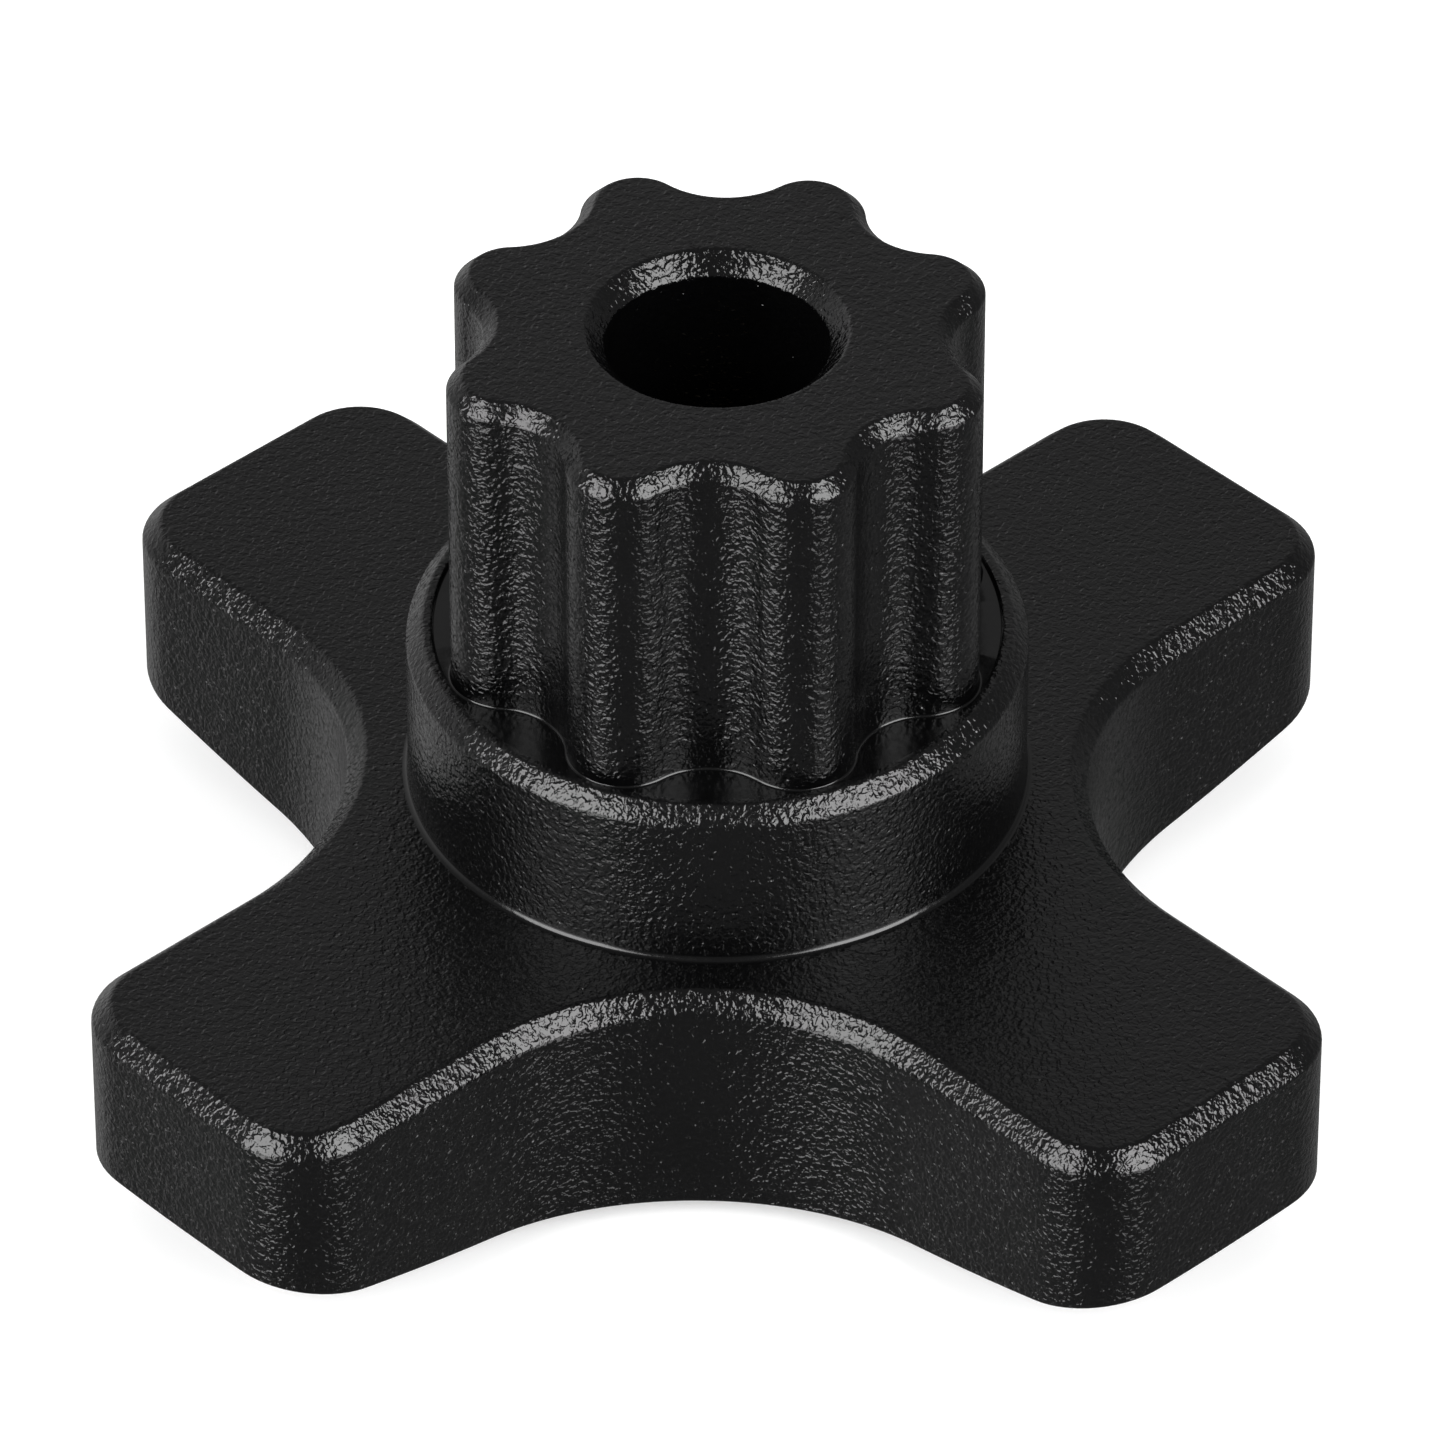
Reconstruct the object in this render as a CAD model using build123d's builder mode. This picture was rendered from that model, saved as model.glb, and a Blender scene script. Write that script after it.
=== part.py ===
from build123d import *
import os
from math import atan2, cos, degrees, radians, sin, sqrt

# Four-armed hand nut with a fluted finger hub, in millimetres.
# +Z is the turning axis, the arms lie along X and Y, and z = 0 is the washer's bearing face.

# ---- cross grip ----
arm_reach = 36.25         # axis to the flat end of an arm
arm_width = 17.8
arm_corner = 4.3          # upright corners at the arm ends
valley_shoulder = 3.134   # collar to the nearest point of a finger valley
grip_top = 14.0           # height of the flat top face
grip_chamfer = 0.95
crown_radius = 136.5      # the underside is a shallow dome that thins the arms
crown_low = -0.25         # height of the dome's lowest point, inside the washer recess

# ---- collar ring ----
collar_height = 9.15      # grip top to the rim
rim_thick = 1.3
rim_depth = 0.3           # the shallow tray inside the rim
rim_chamfer = 0.85
tray_gap = 0.3            # lobe tips to the rim's inner wall

# ---- fluted hub ----
lobe_count = 8
lobe_radius = 2.85
flute_depth = 2.4         # lobe tip to flute valley
hub_wall = 3.5            # flute valley to the flats of the insert's flange
hub_above_collar = 18.1
hub_chamfer = 0.75
bolt_bore_radius = 5.5    # medium clearance for an M10 bolt
bore_chamfer = 1.0

# ---- threaded insert: every radius is built outwards from the thread ----
thread_minor_radius = 4.25
thread_lead_in = 0.6
neck_wall = 1.75
lip_reach = 1.0           # the neck is rolled out under the washer, which it keeps captive
body_wall = 2.75
flange_step = 1.0         # body to the flats of the hexagonal flange
insert_body_length = 12.5
insert_flange_thick = 1.5
insert_lip_thick = 0.5
insert_foot = 0.25        # lip to the bearing face
groove_depth = 0.5
groove_width = 1.2
groove_count = 3

# ---- thrust washer ----
washer_wall = 3.1         # outside the clearance step for the lip
washer_thick = 1.6
washer_edge = 0.3

# ---- fits ----
web_thick = 2.3           # floor of the grip, between the flange and the washer
socket_gap = 0.05         # fluted sockets around the hub
pocket_gap = 0.05         # hub pockets around the insert
neck_gap = 0.2            # web hole around the neck
washer_gap = 0.3          # washer around the neck and lip, and recess around the washer
washer_float = 0.1        # washer to the web, and lip to the washer's step

# ---- radii worked out from the sizes above ----
insert_neck_radius = thread_minor_radius + neck_wall
insert_lip_radius = insert_neck_radius + lip_reach
insert_body_radius = thread_minor_radius + body_wall
insert_flats = 2 * (insert_body_radius + flange_step)
washer_radius = insert_lip_radius + washer_gap + washer_wall
lobe_valley_radius = insert_flats / 2 + hub_wall
lobe_tip_radius = lobe_valley_radius + flute_depth
rim_inner_radius = lobe_tip_radius + tray_gap
collar_radius = rim_inner_radius + rim_thick
valley_nearest = collar_radius + valley_shoulder
valley_radius = (valley_nearest - sqrt(2) * arm_width / 2) / (sqrt(2) - 1)

# ---- levels worked out from the sizes above ----
web_under = washer_thick + washer_float
web_top = web_under + web_thick
flange_top = web_top + insert_flange_thick
insert_top = flange_top + insert_body_length
collar_top = grip_top + collar_height
tray_floor = collar_top - rim_depth
hub_top = collar_top + hub_above_collar
lip_top = insert_foot + insert_lip_thick


def flute_arcs(tip, valley, lobe):
    """Closed outline of rounded lobes joined by tangent hollows. A valley faces each arm."""
    half_pitch = radians(180 / lobe_count)
    lobe_offset = tip - lobe
    hollow = (lobe**2 - valley**2 - lobe_offset**2 + 2 * lobe_offset * valley * cos(half_pitch)) / (
        2 * (valley - lobe - lobe_offset * cos(half_pitch))
    )
    hollow_offset = valley + hollow
    turn = atan2(hollow_offset * sin(half_pitch), hollow_offset * cos(half_pitch) - lobe_offset)
    lobe_sweep = 2 * degrees(turn)
    hollow_sweep = 2 * degrees(turn - half_pitch)
    for index in range(lobe_count):
        lobe_angle = (index + 0.5) * 360 / lobe_count
        hollow_angle = (index + 1) * 360 / lobe_count
        lobe_centre = Vector(lobe_offset, 0).rotate(Axis.Z, lobe_angle)
        hollow_centre = Vector(hollow_offset, 0).rotate(Axis.Z, hollow_angle)
        CenterArc(lobe_centre, lobe, lobe_angle - lobe_sweep / 2, lobe_sweep)
        CenterArc(hollow_centre, hollow, hollow_angle + 180 - hollow_sweep / 2, hollow_sweep)


def fluted_face(gap):
    """Fluted section, grown all round by the gap, for the sketch that is open."""
    with BuildLine() as outline:
        flute_arcs(lobe_tip_radius + gap, lobe_valley_radius + gap, lobe_radius + gap)
    make_face(outline.edges())


# ---- cross grip: four arms, a crowned underside and a fluted socket ----
with BuildPart() as cross_grip:
    with BuildSketch() as cross_outline:
        Rectangle(2 * arm_reach, arm_width)
        Rectangle(arm_width, 2 * arm_reach)
        valley_corners = cross_outline.vertices().group_by(lambda corner: corner.center().length)[0]
        fillet(valley_corners, valley_radius)
        end_corners = cross_outline.vertices().group_by(lambda corner: corner.center().length)[-1]
        fillet(end_corners, arm_corner)
    extrude(amount=grip_top)
    chamfer(cross_grip.edges().group_by(Axis.Z)[-1], grip_chamfer)
    with Locations((0, 0, crown_low + crown_radius)):
        Sphere(crown_radius, mode=Mode.INTERSECT)
    with BuildSketch():
        Circle(washer_radius + washer_gap)
    extrude(amount=web_under, mode=Mode.SUBTRACT)
    with BuildSketch(Plane.XY.offset(web_under)):
        Circle(insert_neck_radius + neck_gap)
    extrude(amount=web_thick, mode=Mode.SUBTRACT)
    with BuildSketch(Plane.XY.offset(web_top)):
        fluted_face(socket_gap)
    extrude(amount=grip_top - web_top, mode=Mode.SUBTRACT)

# ---- collar ring: stands on the grip, with a thin rim round a shallow tray ----
with BuildPart() as collar_ring:
    with BuildSketch(Plane.XY.offset(grip_top)):
        Circle(collar_radius)
    extrude(amount=collar_height)
    chamfer(collar_ring.edges().group_by(Axis.Z)[-1], rim_chamfer)
    with BuildSketch(Plane.XY.offset(tray_floor)):
        Circle(rim_inner_radius)
    extrude(amount=rim_depth, mode=Mode.SUBTRACT)
    with BuildSketch(Plane.XY.offset(grip_top)):
        fluted_face(socket_gap)
    extrude(amount=collar_height, mode=Mode.SUBTRACT)

# ---- fluted hub: eight lobes, a bolt bore, and a stepped pocket for the insert ----
with BuildPart() as fluted_hub:
    with BuildSketch(Plane.XY.offset(web_top)):
        fluted_face(0)
    extrude(amount=hub_top - web_top)
    chamfer(fluted_hub.edges().group_by(Axis.Z)[-1], hub_chamfer)
    with BuildSketch(Plane.XY.offset(web_top)):
        Circle(bolt_bore_radius)
    extrude(amount=hub_top - web_top, mode=Mode.SUBTRACT)
    mouth_edge = fluted_hub.edges().filter_by(GeomType.CIRCLE).group_by(Axis.Z)[-1].sort_by(SortBy.RADIUS)[0]
    chamfer(mouth_edge, bore_chamfer)
    with BuildSketch(Plane.XY.offset(flange_top)):
        Circle(insert_body_radius + pocket_gap)
    extrude(amount=insert_body_length + pocket_gap, mode=Mode.SUBTRACT)
    with BuildSketch(Plane.XY.offset(web_top)):
        RegularPolygon(insert_flats / 2 + pocket_gap, 6, major_radius=False)
    extrude(amount=insert_flange_thick, mode=Mode.SUBTRACT)

# ---- threaded insert: hexagonal flange, grooved body, and a neck with a rolled lip ----
with BuildPart() as threaded_insert:
    with BuildSketch(Plane.XY.offset(insert_foot)):
        Circle(insert_neck_radius)
    extrude(amount=web_top - insert_foot)
    with BuildSketch(Plane.XY.offset(insert_foot)):
        Circle(insert_lip_radius)
    extrude(amount=insert_lip_thick)
    with BuildSketch(Plane.XY.offset(web_top)):
        RegularPolygon(insert_flats / 2, 6, major_radius=False)
    extrude(amount=insert_flange_thick)
    with BuildSketch(Plane.XY.offset(flange_top)):
        Circle(insert_body_radius)
    extrude(amount=insert_body_length)
    groove_pitch = insert_body_length / (groove_count + 1)
    for groove_index in range(groove_count):
        groove_middle = flange_top + groove_pitch * (groove_index + 1)
        with BuildSketch(Plane.XY.offset(groove_middle - groove_width / 2)):
            Circle(insert_body_radius)
            Circle(insert_body_radius - groove_depth, mode=Mode.SUBTRACT)
        extrude(amount=groove_width, mode=Mode.SUBTRACT)
    with BuildSketch(Plane.XY.offset(insert_foot)):
        Circle(thread_minor_radius)
    extrude(amount=insert_top - insert_foot, mode=Mode.SUBTRACT)
    bore_edges = threaded_insert.edges().filter_by(GeomType.CIRCLE)
    bore_edges = bore_edges.filter_by(lambda edge: abs(edge.radius - thread_minor_radius) < 0.01)
    chamfer(bore_edges, thread_lead_in)

# ---- thrust washer: turns freely on the neck, stepped below to clear the lip ----
with BuildPart() as thrust_washer:
    with BuildSketch():
        Circle(washer_radius)
    extrude(amount=washer_thick)
    chamfer(thrust_washer.edges().group_by(Axis.Z)[0], washer_edge)
    with BuildSketch():
        Circle(insert_neck_radius + washer_gap)
    extrude(amount=washer_thick, mode=Mode.SUBTRACT)
    with BuildSketch():
        Circle(insert_lip_radius + washer_gap)
    extrude(amount=lip_top + washer_float, mode=Mode.SUBTRACT)

cross_grip.part.label = "cross_grip"
collar_ring.part.label = "collar_ring"
fluted_hub.part.label = "fluted_hub"
threaded_insert.part.label = "threaded_insert"
thrust_washer.part.label = "thrust_washer"

os.makedirs("parts", exist_ok=True)
export_step(cross_grip.part, "parts/cross_grip.step")
export_step(collar_ring.part, "parts/collar_ring.step")
export_step(fluted_hub.part, "parts/fluted_hub.step")
export_step(threaded_insert.part, "parts/threaded_insert.step")
export_step(thrust_washer.part, "parts/thrust_washer.step")
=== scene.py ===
# %% [markdown]
# # A four-armed hand nut, from bench drawing to picture
# The part is a black moulded hand nut. A cross of four arms gives the torque, a tall fluted hub
# lets the fingertips spin the nut down quickly, and a brass insert inside carries the thread.
# The engineering model fixes every size and place. This lesson rebuilds each piece as a clean
# surface with softened edges, gives it a finish, and lights it like a catalogue picture.

from math import atan2, cos, pi, radians, sin, sqrt, tan

import bmesh
import bpy
from mathutils import Matrix, Vector


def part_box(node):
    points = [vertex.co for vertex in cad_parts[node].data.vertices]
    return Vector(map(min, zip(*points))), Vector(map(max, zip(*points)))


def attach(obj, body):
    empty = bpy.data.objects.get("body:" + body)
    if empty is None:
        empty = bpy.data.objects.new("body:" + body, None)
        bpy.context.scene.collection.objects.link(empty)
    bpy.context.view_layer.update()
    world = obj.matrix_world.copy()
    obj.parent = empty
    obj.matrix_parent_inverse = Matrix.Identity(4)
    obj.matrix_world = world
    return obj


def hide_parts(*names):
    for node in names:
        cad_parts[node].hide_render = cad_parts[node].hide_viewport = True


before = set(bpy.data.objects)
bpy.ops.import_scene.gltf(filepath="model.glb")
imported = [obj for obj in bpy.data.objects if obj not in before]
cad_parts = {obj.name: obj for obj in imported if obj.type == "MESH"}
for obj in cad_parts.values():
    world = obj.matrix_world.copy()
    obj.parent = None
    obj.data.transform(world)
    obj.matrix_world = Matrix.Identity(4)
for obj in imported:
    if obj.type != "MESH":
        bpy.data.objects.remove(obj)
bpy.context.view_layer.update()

# %% [markdown]
# ## Sizes
# Blender works in metres, and a nut is drawn in millimetres, so one small value converts between
# them. Heights and radii come from the boxes of the engineering nodes. The few sizes that a box
# can't tell, such as the width of an arm or the size of a flute, are named here once.

# %% Read the sizes
mm = 0.001


def top_of(node):
    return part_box(node)[1].z


def foot_of(node):
    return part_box(node)[0].z


def radius_of(node):
    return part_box(node)[1].y


arm_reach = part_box("cross_grip")[1].x
arm_width = 17.8 * mm
arm_corner = 4.3 * mm
valley_radius = 14.6 * mm
grip_top = top_of("cross_grip")
grip_chamfer = 0.95 * mm
crown_radius = 136.5 * mm
crown_low = -0.25 * mm

collar_radius = radius_of("collar_ring")
rim_top = top_of("collar_ring")
rim_inner_radius = 14.2 * mm
rim_depth = 0.3 * mm
rim_chamfer = 0.85 * mm
tray_floor = rim_top - rim_depth

lobe_count = 8
lobe_tip_radius = 13.9 * mm
lobe_valley_radius = 11.5 * mm
lobe_radius = 2.85 * mm
hub_top = top_of("fluted_hub")
hub_chamfer = 0.75 * mm
bolt_bore_radius = 5.5 * mm
bore_chamfer = 1.0 * mm

neck_radius = 6.0 * mm
lip_radius = 7.0 * mm
lip_thick = 0.5 * mm
insert_body_radius = 7.0 * mm
insert_top = top_of("threaded_insert")
insert_foot = foot_of("threaded_insert")
insert_flats = 2 * radius_of("threaded_insert")
flange_thick = 1.5 * mm
thread_pitch = 1.5 * mm
thread_minor_radius = 4.25 * mm
thread_major_radius = 5.0 * mm

washer_radius = radius_of("thrust_washer")
washer_thick = top_of("thrust_washer")
washer_gap = 0.3 * mm
washer_float = 0.1 * mm
print("reach", arm_reach, "grip top", grip_top, "rim top", rim_top, "hub top", hub_top)

# %% [markdown]
# ## Outlines that know which way is out
# Every moulded piece is an outline carried up through a list of levels. To round an edge, the
# outline has to shrink evenly, so each point is kept with its outward direction. Moving a point
# along that direction insets the outline without any corner trouble. Arcs are worked out, never
# listed, so one value changes the whole shape.


# %% Helpers for outlines
def arc_points(centre, radius, start, sweep, count, hollow=False):
    """Points along an arc, each with its outward direction. A hollow arc bends inwards."""
    points = []
    for step in range(count):
        angle = start + sweep * step / count
        out = Vector((cos(angle), sin(angle)))
        points.append((centre + radius * out, -out if hollow else out))
    return points


def straight_points(start, end, out, spacing=0.7 * mm):
    """Evenly spaced points from start up to, but not including, end."""
    count = max(1, round((end - start).length / spacing))
    return [(start.lerp(end, step / count), out) for step in range(count)]


def turned(points, quarter_turns):
    """The same points turned about the axis."""
    spin = Matrix.Rotation(quarter_turns * pi / 2, 2)
    return [(spin @ place, spin @ out) for place, out in points]


def circle_outline(radius, like):
    """A circle with one point on the same ray as each point of another outline."""
    return [(radius * place.normalized(), place.normalized()) for place, _ in like]


def level(outline, height, inset=0.0):
    """One closed loop of the outline at a height. The height may be a rule of x and y."""
    loop = []
    for place, out in outline:
        spot = place - inset * out
        z = height(spot) if callable(height) else height
        loop.append(Vector((spot.x, spot.y, z)))
    return loop


# %% [markdown]
# ## The cross outline
# One quarter is drawn: an arm end, a rounded upright corner, the flat side of the arm, the hollow
# finger valley, and the side and corner of the next arm. Four turned copies close the cross.


# %% Draw the cross
corner_steps = 14
valley_steps = 44


def cross_outline():
    """The grip's outline: four arms with rounded corners, and four hollow finger valleys."""
    half = arm_width / 2
    corner = arm_reach - arm_corner
    side = half - arm_corner
    valley = half + valley_radius
    east, north = Vector((1, 0)), Vector((0, 1))
    quarter = straight_points(Vector((arm_reach, -side)), Vector((arm_reach, side)), east)
    quarter += arc_points(Vector((corner, side)), arm_corner, 0, pi / 2, corner_steps)
    quarter += straight_points(Vector((corner, half)), Vector((valley, half)), north)
    middle = Vector((valley, valley))
    quarter += arc_points(middle, valley_radius, -pi / 2, -pi / 2, valley_steps, hollow=True)
    quarter += straight_points(Vector((half, valley)), Vector((half, corner)), east)
    quarter += arc_points(Vector((side, corner)), arm_corner, 0, pi / 2, corner_steps)
    return [point for turn in range(4) for point in turned(quarter, turn)]


cross = cross_outline()
print("cross outline points:", len(cross))

# %% [markdown]
# ## The fluted outline
# The hub's section is a ring of round lobes joined by round hollows that meet them smoothly.
# Two circles touch smoothly when their centres and the touching point are in line. That one
# condition gives the size of the hollow from the lobe size and the tip and valley radii.


# %% Draw the flutes
half_pitch = pi / lobe_count


def flute_sizes(grow):
    """Radius and centre distance of a lobe and of a hollow, and the turn to where they touch."""
    valley = lobe_valley_radius + grow
    lobe = lobe_radius + grow
    offset = lobe_tip_radius + grow - lobe
    reach = 2 * offset * cos(half_pitch)
    hollow = (lobe**2 - valley**2 - offset**2 + reach * valley) / (2 * (valley - lobe) - reach)
    hollow_offset = valley + hollow
    turn = atan2(hollow_offset * sin(half_pitch), hollow_offset * cos(half_pitch) - offset)
    return lobe, offset, hollow, hollow_offset, turn


def fluted_outline(grow=0.0, steps=16):
    """The fluted section, grown all round by a small gap."""
    lobe, offset, hollow, hollow_offset, turn = flute_sizes(grow)
    sweep = turn - half_pitch
    points = []
    for index in range(lobe_count):
        lobe_angle = (index + 0.5) * 2 * half_pitch
        hollow_angle = (index + 1) * 2 * half_pitch
        lobe_centre = offset * Vector((cos(lobe_angle), sin(lobe_angle)))
        hollow_centre = hollow_offset * Vector((cos(hollow_angle), sin(hollow_angle)))
        points += arc_points(lobe_centre, lobe, lobe_angle - turn, 2 * turn, 2 * steps)
        hollow_start = hollow_angle + pi + sweep
        points += arc_points(hollow_centre, hollow, hollow_start, -2 * sweep, steps, hollow=True)
    return points


flutes = fluted_outline()
print("fluted outline points:", len(flutes))

# %% [markdown]
# ## Skinning the levels
# Loops with the same number of points are joined by quads, like the staves of a barrel. Joining
# the last loop back to the first closes the surface, which leaves a real solid with its inside
# faces. Narrow rounded bands would pull the shading of the large flats about, so a Weighted
# Normal modifier lets the largest face decide.


# %% Helpers for surfaces
sharp_angle = radians(28)
normal_weight = 100


def join_loops(build, loops):
    """Quads from each loop of points to the next."""
    for lower, upper in zip(loops, loops[1:]):
        count = len(lower)
        for here in range(count):
            after = (here + 1) % count
            build.faces.new((lower[here], lower[after], upper[after], upper[here]))


def finish_piece(build, name):
    """Turn a build into an object, smooth except where two faces meet at a real edge."""
    bmesh.ops.recalc_face_normals(build, faces=build.faces)
    mesh = bpy.data.meshes.new(name)
    build.to_mesh(mesh)
    build.free()
    for face in mesh.polygons:
        face.use_smooth = True
    mesh.set_sharp_from_angle(angle=sharp_angle)
    piece = bpy.data.objects.new(name, mesh)
    bpy.context.scene.collection.objects.link(piece)
    print(name, "faces:", len(mesh.polygons))
    return piece


def skin(name, outlines):
    """A closed surface through a list of loops, the last joined back to the first."""
    build = bmesh.new()
    loops = [[build.verts.new(spot) for spot in outline] for outline in outlines]
    join_loops(build, loops + loops[:1])
    piece = finish_piece(build, name)
    shade = piece.modifiers.new("even shading", "WEIGHTED_NORMAL")
    shade.keep_sharp = True
    shade.weight = normal_weight
    return piece


def polish_bands(piece, around, first, last):
    """Give the bands of faces from first up to last the piece's second material."""
    for face in piece.data.polygons[first * around:last * around]:
        face.material_index = 1


def corner_back(soften):
    """How far a rounding reaches along each side of a 45 degree corner."""
    return soften * tan(pi / 8)


def softened_chamfer(top, size, soften, steps=4):
    """Levels up a 45 degree chamfer whose two corners are rounded, as (inset, height)."""
    back = corner_back(soften)
    levels = []
    for step in range(steps + 1):
        angle = pi / 4 * step / steps
        levels.append((soften * (1 - cos(angle)), top - size - back + soften * sin(angle)))
    for step in range(steps + 1):
        angle = pi / 4 + pi / 4 * step / steps
        inset = size + back - soften * cos(angle)
        levels.append((inset, top - soften * (1 - sin(angle))))
    return levels


def rounded_foot(soften, steps=3):
    """Levels round a small outside corner at the foot of a wall, as (inset, lift)."""
    levels = []
    for step in range(steps + 1):
        angle = pi / 2 * step / steps
        levels.append((soften * (1 - sin(angle)), soften * (1 - cos(angle))))
    return levels


def round_loops(outline, top, radius, steps):
    """Loops down and in, over the rounded top edge of an inside wall."""
    loops = []
    for step in range(steps + 1):
        angle = pi / 2 * step / steps
        loops.append(level(outline, top - radius * (1 - cos(angle)), -radius * (1 - sin(angle))))
    return loops


# %% [markdown]
# ## The cross-shaped grip
# On the real nut this is one thick moulding. Its top is flat, its underside is a shallow dome
# that thins each arm towards its end, and its upper edge has a 45 degree chamfer. A Boolean of
# boxes would leave ragged shading on the flat, so the shape is skinned from loops instead: up
# the outside, over the top, and back down through the socket that holds the hub.


# %% Helpers for the grip
def dome(spot):
    """Height of the domed underside below a point."""
    return crown_low + crown_radius - sqrt(crown_radius**2 - spot.x**2 - spot.y**2)


def flute_reach(angle, grow=0.0):
    """Distance from the axis to the fluted outline in one direction."""
    lobe, offset, hollow, hollow_offset, turn = flute_sizes(grow)
    joint_angle = atan2(lobe * sin(turn), offset + lobe * cos(turn))
    from_lobe = angle % (2 * half_pitch) - half_pitch
    if abs(from_lobe) <= joint_angle:
        return offset * cos(from_lobe) + sqrt(lobe**2 - (offset * sin(from_lobe)) ** 2)
    from_hollow = half_pitch - abs(from_lobe)
    return hollow_offset * cos(from_hollow) - sqrt(hollow**2 - (hollow_offset * sin(from_hollow)) ** 2)


def polar_outline(reach, like):
    """An outline given by a rule of the angle, on the same rays as another outline."""
    points = []
    for place, _ in like:
        out = place.normalized()
        points.append((reach(atan2(place.y, place.x)) * out, out))
    return points


def between(first, last, share, height):
    """A loop part of the way from one outline to another."""
    loop = []
    for (start, _), (end, _) in zip(first, last):
        spot = start.lerp(end, share)
        loop.append(Vector((spot.x, spot.y, height(spot) if callable(height) else height)))
    return loop


# %% Build the grip
web_under = washer_thick + washer_float
web_top = foot_of("fluted_hub")
socket_gap = 0.05 * mm
neck_gap = 0.2 * mm
edge_soften = 0.42 * mm
foot_soften = 0.18 * mm
underside_steps = 10
wall_steps = 4
top_steps = 5
edge_back = grip_chamfer + corner_back(edge_soften)


def wall_loop(share):
    """A loop part of the way up the outside wall, from the domed foot to the chamfer."""
    def height(spot):
        return (1 - share) * (dome(spot) + foot_soften) + share * (grip_top - edge_back)

    return level(cross, height)


recess = circle_outline(washer_radius + washer_gap, cross)
neck_hole = circle_outline(neck_radius + neck_gap, cross)
grip_socket = polar_outline(lambda angle: flute_reach(angle, socket_gap), cross)

grip_loops = [level(recess, web_under), level(recess, dome)]
underside_edge = [(place - foot_soften * out, out) for place, out in cross]
for step in range(1, underside_steps):
    grip_loops.append(between(recess, underside_edge, step / underside_steps, dome))
for inset, lift in rounded_foot(foot_soften):
    grip_loops.append(level(cross, lambda spot, lift=lift: dome(spot) + lift, inset))
for step in range(1, wall_steps):
    grip_loops.append(wall_loop(step / wall_steps))
for inset, height in softened_chamfer(grip_top, grip_chamfer, edge_soften):
    grip_loops.append(level(cross, height, inset))
top_edge = [(place - edge_back * out, out) for place, out in cross]
for step in range(1, top_steps + 1):
    grip_loops.append(between(top_edge, grip_socket, step / top_steps, grip_top))
grip_loops += [level(grip_socket, web_top), level(neck_hole, web_top), level(neck_hole, web_under)]
grip = skin("grip_moulding", grip_loops)

# %% [markdown]
# ## The collar
# A low round drum stands on the middle of the cross. It lifts the fingers clear of the arms. Its
# rim is a thin raised lip, and the floor inside is a tray only a third of a millimetre deep. At the
# foot the moulding flares by a hair, and that fine curve is what catches the light as a line.


# %% Build the collar
foot_flare = 0.3 * mm
rim_soften = 0.3 * mm
tray_soften = 0.12 * mm
tray_steps = 3


def flared_foot(bottom, flare, steps=4):
    """Levels up a hollow corner at the foot of a wall, as (inset, height)."""
    levels = []
    for step in range(steps + 1):
        angle = pi / 2 * step / steps
        levels.append((-flare * (1 - sin(angle)), bottom + flare * (1 - cos(angle))))
    return levels


drum = circle_outline(collar_radius, flutes)
tray_wall = circle_outline(rim_inner_radius, flutes)
collar_socket = fluted_outline(socket_gap)

collar_loops = [level(collar_socket, grip_top)]
for inset, height in flared_foot(grip_top, foot_flare):
    collar_loops.append(level(drum, height, inset))
foot_bands = (1, len(collar_loops) - 1)
for inset, height in softened_chamfer(rim_top, rim_chamfer, rim_soften):
    collar_loops.append(level(drum, height, inset))
tray_start = len(collar_loops) + tray_steps - 1  # the last band of the rim's inner rounding
collar_loops += round_loops(tray_wall, rim_top, tray_soften, tray_steps)
for inset, height in reversed(flared_foot(tray_floor, tray_soften)):
    collar_loops.append(level(tray_wall, height, -inset))
collar_loops.append(level(collar_socket, tray_floor))
collar = skin("collar_moulding", collar_loops)
polish_bands(collar, len(flutes), *foot_bands)
polish_bands(collar, len(flutes), tray_start, len(collar_loops) - 1)

# %% [markdown]
# ## The fluted hub
# Eight lobes give the fingertips something to roll. The hub is a straight pull upwards from the
# mould, so one outline serves for its whole height. Its top edge follows the flutes with a small
# chamfer, and a plain hole runs down the middle for the bolt to rise into. Below, out of sight,
# a stepped pocket holds the brass insert.


# %% Build the hub
def hexagon_reach(flats):
    """A rule of the angle for a hexagon measured across its flats."""
    return lambda angle: flats / 2 / cos(angle % (pi / 3) - pi / 6)


pocket_gap = 0.05 * mm
flange_top = web_top + flange_thick
hub_soften = 0.32 * mm
hub_flare = 0.14 * mm
bore = circle_outline(bolt_bore_radius, flutes)
pocket = circle_outline(insert_body_radius + pocket_gap, flutes)
key = polar_outline(hexagon_reach(insert_flats + 2 * pocket_gap), flutes)

hub_loops = [level(flutes, web_top), level(flutes, tray_floor)]
for inset, height in flared_foot(tray_floor, hub_flare):
    hub_loops.append(level(flutes, height, inset))
hub_foot_bands = (1, len(hub_loops) - 1)
for inset, height in softened_chamfer(hub_top, hub_chamfer, hub_soften):
    hub_loops.append(level(flutes, height, inset))
for inset, height in reversed(softened_chamfer(hub_top, bore_chamfer, hub_soften)):
    hub_loops.append(level(bore, height, -inset))
hub_loops += [level(bore, insert_top + pocket_gap), level(pocket, insert_top + pocket_gap)]
hub_loops += [level(pocket, flange_top), level(key, flange_top), level(key, web_top)]
hub = skin("hub_moulding", hub_loops)
polish_bands(hub, len(flutes), *hub_foot_bands)

# %% [markdown]
# ## The threaded insert
# Plastic threads strip, so a hand nut often carries a brass insert. It can't be seen from above,
# so its design here is a sensible guess. Its hexagonal flange can't turn in the hub, its grooves
# stop it from pulling out, and its neck passes through the grip's floor.
# The thread is a real helix here: each row of points climbs one pitch per turn, so the row joins
# onto the one above it. Points that would climb past an end are held there, then merged.


# %% Helper for the thread
crest, first_flank, root, last_flank = 0.25, 0.5625, 0.6875, 1.0  # shares of a pitch, at their ends


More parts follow.
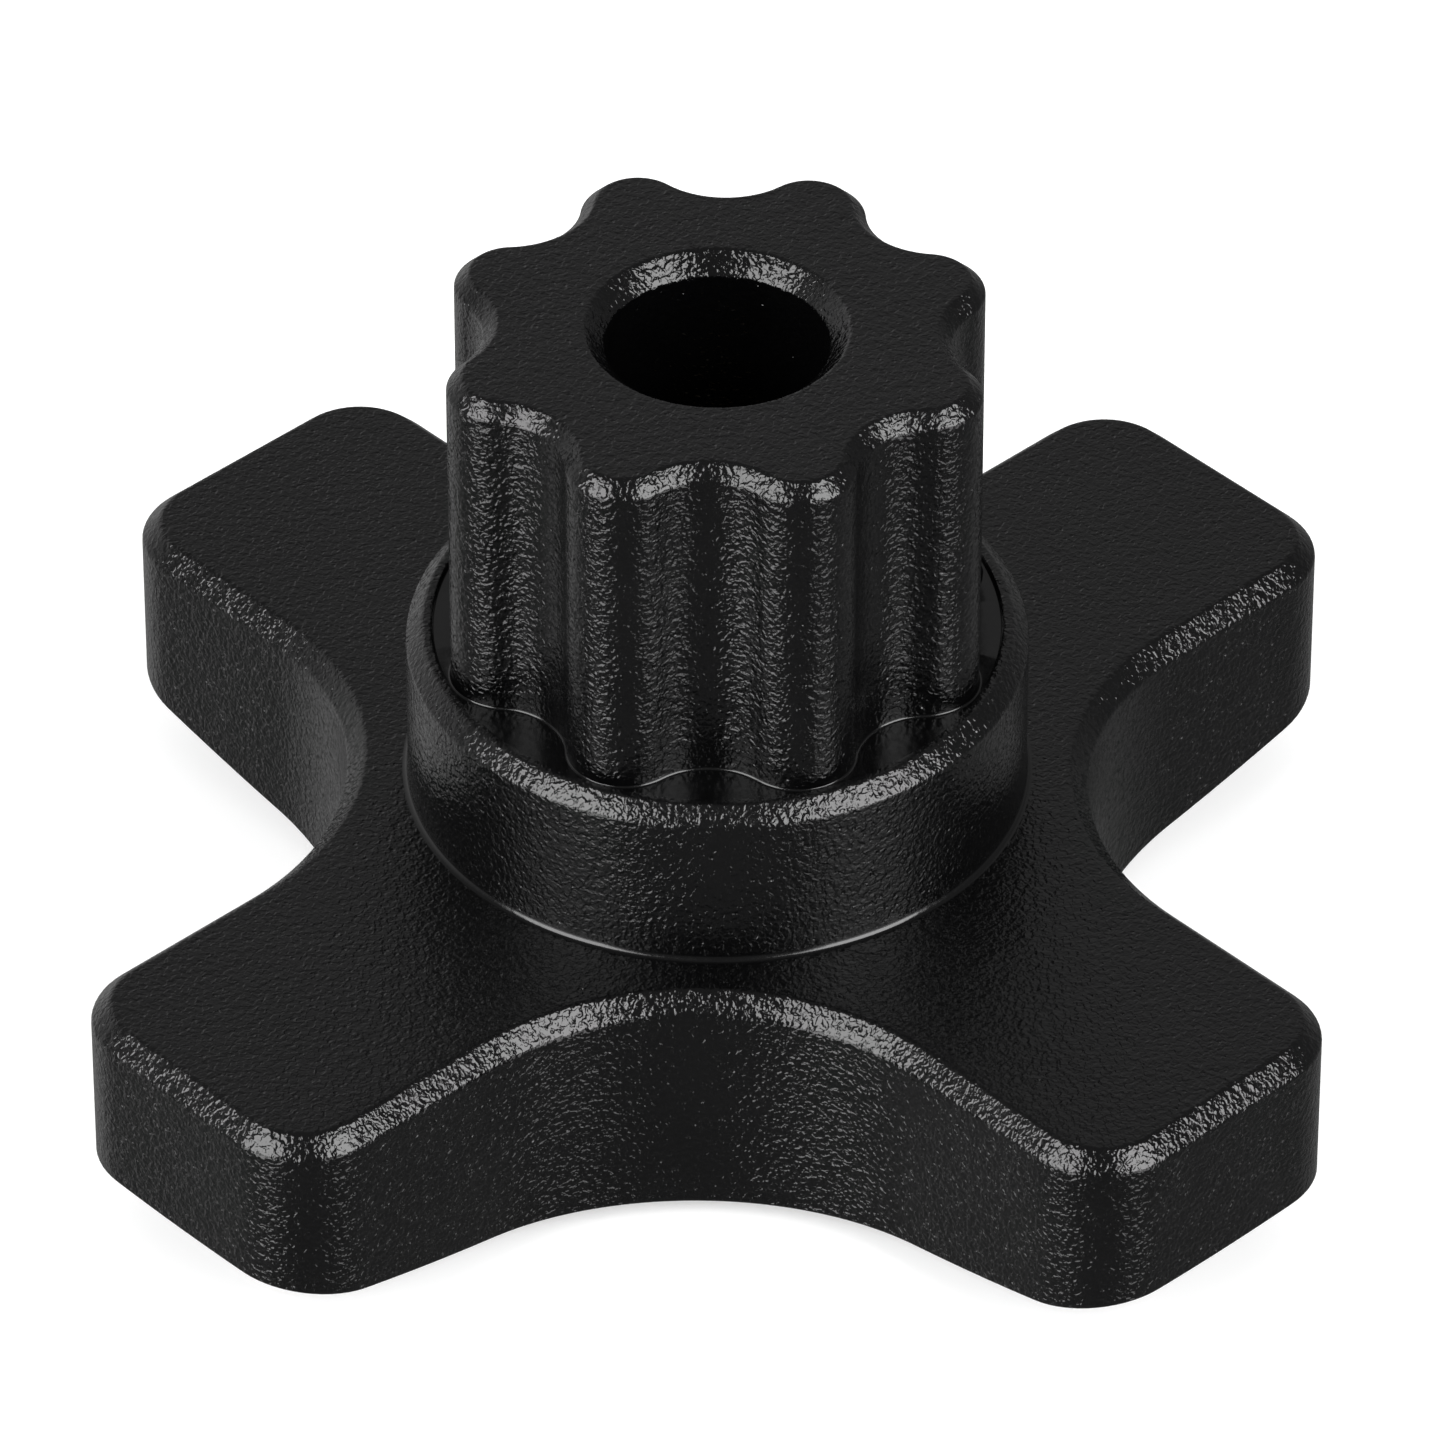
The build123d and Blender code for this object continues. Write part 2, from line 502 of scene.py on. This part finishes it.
def thread_reach(phase):
    """Radius along one pitch of a 60 degree thread: crest, flank, root, flank."""
    depth = thread_major_radius - thread_minor_radius
    if phase <= crest:
        return thread_minor_radius
    if phase <= first_flank:
        return thread_minor_radius + depth * (phase - crest) / (first_flank - crest)
    if phase <= root:
        return thread_major_radius
    return thread_major_radius - depth * (phase - root) / (last_flank - root)


print("thread depth:", thread_major_radius - thread_minor_radius)

# %% Build the insert
insert_steps = 96
lead_in = 0.85 * mm
lip_steps = 6
groove_count = 3
groove_depth = 0.5 * mm
groove_half_width = 0.6 * mm
end_chamfer = 0.2 * mm
weld_distance = 0.002 * mm
sliver_length = 0.001 * mm
step_angle = 2 * pi / insert_steps
step_angles = [step * step_angle for step in range(insert_steps)]
round_directions = [Vector((cos(angle), sin(angle))) for angle in step_angles]
round_base = [(out, out) for out in round_directions]


def ring(radius, height):
    return level(circle_outline(radius, round_base), height)


def thread_rows(build):
    """Rows of points up the helix, each row one small climb above the last."""
    half_flank = (crest + first_flank) / 2
    phases = [0.0, crest / 2, crest, half_flank, first_flank, root, (root + last_flank) / 2]
    turns = int((insert_top - insert_foot) / thread_pitch) + 2
    rows = []
    for turn in range(-1, turns):
        for phase in phases:
            row = []
            for step in range(insert_steps):
                climb = turn + phase + step / insert_steps
                z = min(max(insert_foot + climb * thread_pitch, insert_foot), insert_top)
                near_end = min(z - insert_foot, insert_top - z)
                cone = thread_minor_radius + lead_in - near_end
                radius = max(thread_reach(phase), cone)
                row.append(build.verts.new((*(radius * round_directions[step]), z)))
            rows.append(row)
    return rows, len(phases)


def join_thread(build, rows, rows_per_turn):
    """Quads up the helix. The end of each row meets the row one pitch higher."""
    for index in range(len(rows) - rows_per_turn - 1):
        here, above = rows[index], rows[index + 1]
        right = here[1:] + [rows[index + rows_per_turn][0]]
        right_above = above[1:] + [rows[index + rows_per_turn + 1][0]]
        for quad in zip(here, right, right_above, above):
            build.faces.new(quad)


def insert_outside():
    """The turned outside: lip, neck, hexagonal flange, and a grooved body."""
    loops = [ring(thread_minor_radius + lead_in, insert_foot)]
    for step in range(lip_steps + 1):
        angle = -pi / 2 + pi * step / lip_steps
        lip_inset = lip_thick / 2 * (1 - cos(angle))
        loops.append(ring(lip_radius - lip_inset, insert_foot + lip_thick / 2 * (1 + sin(angle))))
    loops += [ring(neck_radius, insert_foot + lip_thick), ring(neck_radius, web_top)]
    flange = polar_outline(hexagon_reach(insert_flats), round_base)
    loops += [level(flange, web_top), level(flange, flange_top), ring(insert_body_radius, flange_top)]
    groove_radius = insert_body_radius - groove_depth
    for groove in range(groove_count):
        middle = flange_top + (insert_top - flange_top) * (groove + 1) / (groove_count + 1)
        low, high = middle - groove_half_width, middle + groove_half_width
        loops += [ring(insert_body_radius, low), ring(groove_radius, low)]
        loops += [ring(groove_radius, high), ring(insert_body_radius, high)]
    loops.append(ring(insert_body_radius - end_chamfer, insert_top))
    loops.append(ring(thread_minor_radius + lead_in, insert_top))
    return loops


insert_build = bmesh.new()
join_thread(insert_build, *thread_rows(insert_build))
join_loops(insert_build, [[insert_build.verts.new(spot) for spot in loop] for loop in insert_outside()])
bmesh.ops.remove_doubles(insert_build, verts=insert_build.verts, dist=weld_distance)
bmesh.ops.dissolve_degenerate(insert_build, edges=insert_build.edges, dist=sliver_length)
loose_points = [point for point in insert_build.verts if not point.link_faces]
bmesh.ops.delete(insert_build, geom=loose_points, context="VERTS")
print("open edges:", sum(1 for edge in insert_build.edges if len(edge.link_faces) != 2))
insert = finish_piece(insert_build, "insert_turned")

# %% [markdown]
# ## The thrust washer
# A hand nut is tightened against soft or painted surfaces, so a steel washer takes the rubbing.
# It is hidden under the grip, so it too is a sensible guess. The insert's rolled lip holds it on,
# and it turns freely about the neck. It is one turned profile taken round the axis: a stepped
# hole, flat faces, and a broken outer edge.


# %% Build the washer
lip_step = 0.85 * mm
hole_edge = 0.1 * mm
step_edge = 0.12 * mm
face_edge = 0.34 * mm
back_edge = 0.14 * mm
back_cut = 0.04 * mm
step_cut = 0.08 * mm
corner_cut = 0.06 * mm  # takes the corners off the outer face edge
neck_hole_radius = neck_radius + washer_gap
lip_hole_radius = lip_radius + washer_gap
washer_profile = [
    (neck_hole_radius, washer_thick - hole_edge),
    (neck_hole_radius, lip_step + hole_edge),
    (neck_hole_radius + step_cut, lip_step),
    (lip_hole_radius, lip_step),
    (lip_hole_radius, step_edge),
    (lip_hole_radius + step_edge, 0.0),
    (washer_radius - face_edge, 0.0),
    (washer_radius - face_edge + corner_cut, corner_cut / 2),
    (washer_radius - corner_cut / 2, face_edge - corner_cut),
    (washer_radius, face_edge),
    (washer_radius, washer_thick - back_edge),
    (washer_radius - back_cut, washer_thick - back_cut),
    (washer_radius - back_edge, washer_thick),
    (neck_hole_radius + hole_edge, washer_thick),
]
washer = skin("washer_turned", [ring(radius, height) for radius, height in washer_profile])

# %% [markdown]
# ## Black moulded nylon
# The mould was spark eroded, so the whole surface carries a fine random grain about a quarter of
# a millimetre across. Under soft light that grain breaks each highlight into sparkles. A slightly
# distorted noise gives its ridges, a coarser noise gives a gentle swell, and the middles of
# scattered cells give small pits. All three feed the bump. The grain also varies the roughness,
# because ridges are rubbed smoother than hollows. At the feet of the collar and the hub the same
# mix is used with hardly any depth, so that the fine flare there draws a clean line of light.


# %% Helpers for materials
def new_material(name):
    """A material with a plain shader, and the place on the piece to feed its textures."""
    material = bpy.data.materials.new(name)
    material.use_nodes = True
    tree = material.node_tree
    tree.nodes.clear()
    output = tree.nodes.new("ShaderNodeOutputMaterial")
    shader = tree.nodes.new("ShaderNodeBsdfPrincipled")
    tree.links.new(shader.outputs["BSDF"], output.inputs["Surface"])
    place = tree.nodes.new("ShaderNodeTexCoord").outputs["Object"]
    return material, tree, shader, place


def join(tree, source, target):
    tree.links.new(source, target)


def noise(tree, place, per_metre, detail=3.0, roughness=0.5, distortion=0.0):
    node = tree.nodes.new("ShaderNodeTexNoise")
    join(tree, place, node.inputs["Vector"])
    node.inputs["Scale"].default_value = per_metre
    node.inputs["Detail"].default_value = detail
    node.inputs["Roughness"].default_value = roughness
    node.inputs["Distortion"].default_value = distortion
    return node.outputs["Fac"]


def cells(tree, place, per_metre):
    """Distance from the middle of the nearest of many scattered cells."""
    node = tree.nodes.new("ShaderNodeTexVoronoi")
    join(tree, place, node.inputs["Vector"])
    node.inputs["Scale"].default_value = per_metre
    return node.outputs["Distance"]


def spread(tree, value, low, high, from_low=0.0, from_high=1.0):
    """Stretch a value from one range to another."""
    node = tree.nodes.new("ShaderNodeMapRange")
    join(tree, value, node.inputs["Value"])
    node.inputs["From Min"].default_value = from_low
    node.inputs["From Max"].default_value = from_high
    node.inputs["To Min"].default_value = low
    node.inputs["To Max"].default_value = high
    return node.outputs["Result"]


def maths(tree, operation, first, second=0.0):
    node = tree.nodes.new("ShaderNodeMath")
    node.operation = operation
    for socket, value in zip(node.inputs, (first, second)):
        if isinstance(value, (int, float)):
            socket.default_value = value
        else:
            join(tree, value, socket)
    return node.outputs["Value"]


def blend(tree, first, share, second):
    """A share of the first value plus the rest of the second."""
    first_part = maths(tree, "MULTIPLY", first, share)
    second_part = maths(tree, "MULTIPLY", second, 1 - share)
    return maths(tree, "ADD", first_part, second_part)


def shades(tree, value, stops):
    """A colour ramp from (position, grey or colour) stops."""
    node = tree.nodes.new("ShaderNodeValToRGB")
    join(tree, value, node.inputs["Fac"])
    ramp = node.color_ramp
    for index, (position, colour) in enumerate(stops):
        colour = (colour,) * 3 if isinstance(colour, (int, float)) else colour
        stop = ramp.elements[index] if index < 2 else ramp.elements.new(position)
        stop.position = position
        stop.color = (*colour, 1.0)
    return node.outputs["Color"]


def bump(tree, height, depth, under=None):
    """Relief of a given depth, laid over an earlier relief if there is one."""
    node = tree.nodes.new("ShaderNodeBump")
    node.inputs["Strength"].default_value = 1.0
    node.inputs["Distance"].default_value = depth
    join(tree, height, node.inputs["Height"])
    if under is not None:
        join(tree, under, node.inputs["Normal"])
    return node.outputs["Normal"]


# %% Mix the nylon
grain_scale = 3700.0
swell_scale = 1300.0
slow_scale = 160.0
pit_scale = 1500.0
pit_reach = 0.2
dark_nylon = (0.0009, 0.0009, 0.0010)
light_nylon = (0.0017, 0.0017, 0.0018)
nylon_bend = 1.5


def black_nylon(name, grain_depth, swell_depth, pit_depth, roughness):
    """Nylon whose relief has the given depths, and whose roughness is about the last value."""
    material, tree, shader, place = new_material(name)
    grain = noise(tree, place, grain_scale, detail=1.0, roughness=0.4, distortion=0.6)
    swell = noise(tree, place, swell_scale, detail=1.5)
    slow = noise(tree, place, slow_scale)
    pits = spread(tree, cells(tree, place, pit_scale), 0.0, 1.0, 0.0, pit_reach)
    relief = bump(tree, grain, grain_depth, bump(tree, swell, swell_depth))
    join(tree, bump(tree, pits, pit_depth, relief), shader.inputs["Normal"])
    tone = blend(tree, grain, 0.5, slow)
    join(tree, shades(tree, tone, [(0.35, dark_nylon), (0.65, light_nylon)]), shader.inputs["Base Color"])
    fine_gloss = spread(tree, grain, 0.04, -0.03, 0.3, 0.7)
    slow_gloss = spread(tree, slow, -0.03, 0.03, 0.3, 0.7)
    gloss = maths(tree, "ADD", fine_gloss, slow_gloss)
    join(tree, maths(tree, "ADD", gloss, roughness), shader.inputs["Roughness"])
    shader.inputs["IOR"].default_value = nylon_bend
    return material


grained = {"grain_depth": 0.074 * mm, "swell_depth": 0.035 * mm, "pit_depth": 0.045 * mm}
polished = {"grain_depth": 0.003 * mm, "swell_depth": 0.006 * mm, "pit_depth": 0.001 * mm}
nylon = black_nylon("black_nylon", roughness=0.15, **grained)
smooth_nylon = black_nylon("smooth_black_nylon", roughness=0.17, **polished)
print("nylon nodes:", len(nylon.node_tree.nodes))

# %% [markdown]
# ## Brass and zinc-plated steel
# Both hidden parts are turned on a lathe, so their marks are rings about the axis. Distance
# from the axis, fed into a noise, gives rings that never drift, whichever way the part faces.


# %% Mix the metals
stain_scale = 420.0
turning_depth = 0.02 * mm


def turned_metal(name, dark, light, ring_scale, roughness):
    """A metal between two shades, with fine turning rings and a faint stain."""
    material, tree, shader, place = new_material(name)
    split = tree.nodes.new("ShaderNodeSeparateXYZ")
    join(tree, place, split.inputs["Vector"])
    x, y, z = (split.outputs[axis] for axis in "XYZ")
    squares = maths(tree, "ADD", maths(tree, "MULTIPLY", x, x), maths(tree, "MULTIPLY", y, y))
    gather = tree.nodes.new("ShaderNodeCombineXYZ")
    join(tree, maths(tree, "SQRT", squares), gather.inputs["X"])
    join(tree, z, gather.inputs["Y"])
    rings = noise(tree, gather.outputs["Vector"], ring_scale, detail=4.0, roughness=0.7)
    stain = noise(tree, place, stain_scale, detail=4.0, roughness=0.6)
    tone = blend(tree, rings, 0.4, stain)
    join(tree, shades(tree, tone, [(0.3, dark), (0.7, light)]), shader.inputs["Base Color"])
    dull, bright = roughness + 0.1, roughness - 0.08
    join(tree, spread(tree, tone, dull, bright, 0.3, 0.7), shader.inputs["Roughness"])
    join(tree, bump(tree, rings, turning_depth), shader.inputs["Normal"])
    shader.inputs["Metallic"].default_value = 1.0
    return material


brass = turned_metal("turned_brass", (0.50, 0.33, 0.13), (0.78, 0.58, 0.28), 9000.0, 0.30)
zinc = turned_metal("zinc_plate", (0.46, 0.47, 0.49), (0.70, 0.71, 0.72), 8000.0, 0.34)
print("metals:", brass.name, zinc.name)

# %% [markdown]
# ## Hanging the pieces on the model
# Each row names a piece, its finish, the body that it moves with, the slot in the record that its material
# fills, and the engineering node that it stands in for. The piece gets its finish and its body, and that
# node is hidden; the slot is listed but not used here. The washer turns by itself, so it rides on a body of
# its own.

# %% Dress the pieces and hang them on the model
dress = (
    (grip, nylon, "nut", "moulded_nylon", "cross_grip"),
    (collar, nylon, "nut", "moulded_nylon", "collar_ring"),
    (hub, nylon, "nut", "moulded_nylon", "fluted_hub"),
    (insert, brass, "nut", "insert_brass", "threaded_insert"),
    (washer, zinc, "washer", "washer_steel", "thrust_washer"),
)
for piece, material, body, slot, node in dress:
    piece.data.materials.append(material)
    if material is nylon:
        piece.data.materials.append(smooth_nylon)
    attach(piece, body)
    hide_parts(node)
print("pieces dressed:", [piece.name for piece, *_ in dress])

# %% [markdown]
# ## The floor
# The nut stands on a pale seamless sheet, so wide that only a nearly level view finds its edge.
# The sheet glows a little, which keeps it white and softens the shadow under the arms. It is left
# out of reflections, which is a studio cheat: a black part shows a white table very plainly. The
# lights below put back only as much of that as is wanted.

# %% Lay the floor
half_floor = 6.0
floor_drop = 0.02 * mm
paper_scale = 30.0
floor_build = bmesh.new()
floor_corners = [(half_floor * x, half_floor * y) for x, y in ((-1, -1), (1, -1), (1, 1), (-1, 1))]
floor_build.faces.new([floor_build.verts.new((x, y, -floor_drop)) for x, y in floor_corners])
floor_mesh = bpy.data.meshes.new("floor_sheet")
floor_build.to_mesh(floor_mesh)
floor_build.free()
floor = bpy.data.objects.new("floor_sheet", floor_mesh)
bpy.context.scene.collection.objects.link(floor)
paper, paper_tree, paper_shader, paper_place = new_material("pale_paper")
paper_shade = shades(paper_tree, noise(paper_tree, paper_place, paper_scale), [(0.0, 0.70), (1.0, 0.74)])
join(paper_tree, paper_shade, paper_shader.inputs["Base Color"])
paper_shader.inputs["Roughness"].default_value = 0.9
paper_shader.inputs["Specular IOR Level"].default_value = 0.1
paper_shader.inputs["Emission Color"].default_value = (1.0, 1.0, 1.0, 1.0)
paper_shader.inputs["Emission Strength"].default_value = 0.42
floor.data.materials.append(paper)
floor.visible_glossy = False
print("floor width:", 2 * half_floor)

# %% [markdown]
# ## The lights
# A black object is lit by what it reflects, so the places of the lights matter more than their
# strength. Two tall soft lights in front, one each side of the camera, draw the bright chamfers
# and leave the parts that face the camera dark. Two weak ones below the floor, seen by
# reflections alone, stand in for light off a table: they give the upright walls their soft
# vertical bands. A broad light overhead brightens the sheet and isn't reflected at all. A weak one
# behind, and a room that is brighter towards the far left, lift the flat tops.


# %% Hang the lights
view_azimuth = radians(46.6248)
view_height = radians(38.497)
light_target = Vector((0, 0, 0.02))


def aim_at(piece, spot, target):
    """Put a lamp or a camera at a spot, looking at a target."""
    piece.location = spot
    piece.rotation_euler = (target - spot).to_track_quat("-Z", "Y").to_euler()


def soft_light(name, side, height, distance, width, tall, power):
    """A soft light at an angle to one side of the camera (degrees), at a height above the floor."""
    lamp = bpy.data.lights.new(name, "AREA")
    lamp.shape = "RECTANGLE"
    lamp.size = width
    lamp.size_y = tall
    lamp.energy = power
    holder = bpy.data.objects.new(name, lamp)
    holder.visible_camera = False
    bpy.context.scene.collection.objects.link(holder)
    angle = view_azimuth + pi + radians(side)
    aim_at(holder, Vector((distance * cos(angle), distance * sin(angle), height)), light_target)
    return holder


front = {"height": 0.39, "distance": 0.76, "tall": 0.78}
soft_light("front_left_softbox", side=-53, width=0.57, power=9.8, **front)
soft_light("front_right_softbox", side=53, width=0.55, power=10.5, **front)
soft_light("back_softbox", side=180, height=0.8, distance=1.1, width=1.6, tall=0.8, power=0.35)
table = {"height": -0.22, "distance": 0.76, "tall": 0.30}
glow_left = soft_light("table_glow_left", side=-47, width=0.54, power=2.2, **table)
glow_right = soft_light("table_glow_right", side=46, width=0.44, power=1.05, **table)
for glow in (glow_left, glow_right):
    glow.visible_diffuse = False
overhead = soft_light("overhead_fill", side=180, height=1.6, distance=0.01, width=2.4, tall=2.4, power=12.0)
overhead.visible_glossy = False

# %% Shade the room
bright_side = (-0.12, 0.99, 0.0)
room_stops = [(0.0, 0.15), (0.4, 0.17), (0.82, 0.2), (0.95, 0.6)]
world = bpy.data.worlds.new("pale_room")
bpy.context.scene.world = world
world.use_nodes = True
room = world.node_tree
room_side = room.nodes.new("ShaderNodeVectorMath")
room_side.operation = "DOT_PRODUCT"
join(room, room.nodes.new("ShaderNodeTexCoord").outputs["Generated"], room_side.inputs[0])
room_side.inputs[1].default_value = bright_side
room_share = spread(room, room_side.outputs["Value"], 0.0, 1.0, -1.0, 1.0)
join(room, shades(room, room_share, room_stops), room.nodes["Background"].inputs["Color"])
room.nodes["Background"].inputs["Strength"].default_value = 1.0

# %% [markdown]
# ## The camera
# A long lens from six tenths of a metre keeps the uprights nearly parallel, as in a catalogue.

# %% Set up the camera
camera_distance = 0.6223
camera_target = Vector((0.000189, -0.000179, 0.01639))
camera_data = bpy.data.cameras.new("catalogue_camera")
camera_data.sensor_fit = "HORIZONTAL"
camera_data.sensor_width = 36.0
camera_data.lens = 310.07
camera_data.clip_start = 0.01
camera_data.clip_end = 50.0
camera = bpy.data.objects.new("catalogue_camera", camera_data)
bpy.context.scene.collection.objects.link(camera)
ahead = cos(view_height)
look = Vector((cos(view_azimuth) * ahead, sin(view_azimuth) * ahead, -sin(view_height)))
aim_at(camera, camera_target - camera_distance * look, camera_target)
bpy.context.scene.camera = camera
bpy.context.scene.view_settings.view_transform = "Standard"
print("lens:", camera_data.lens)
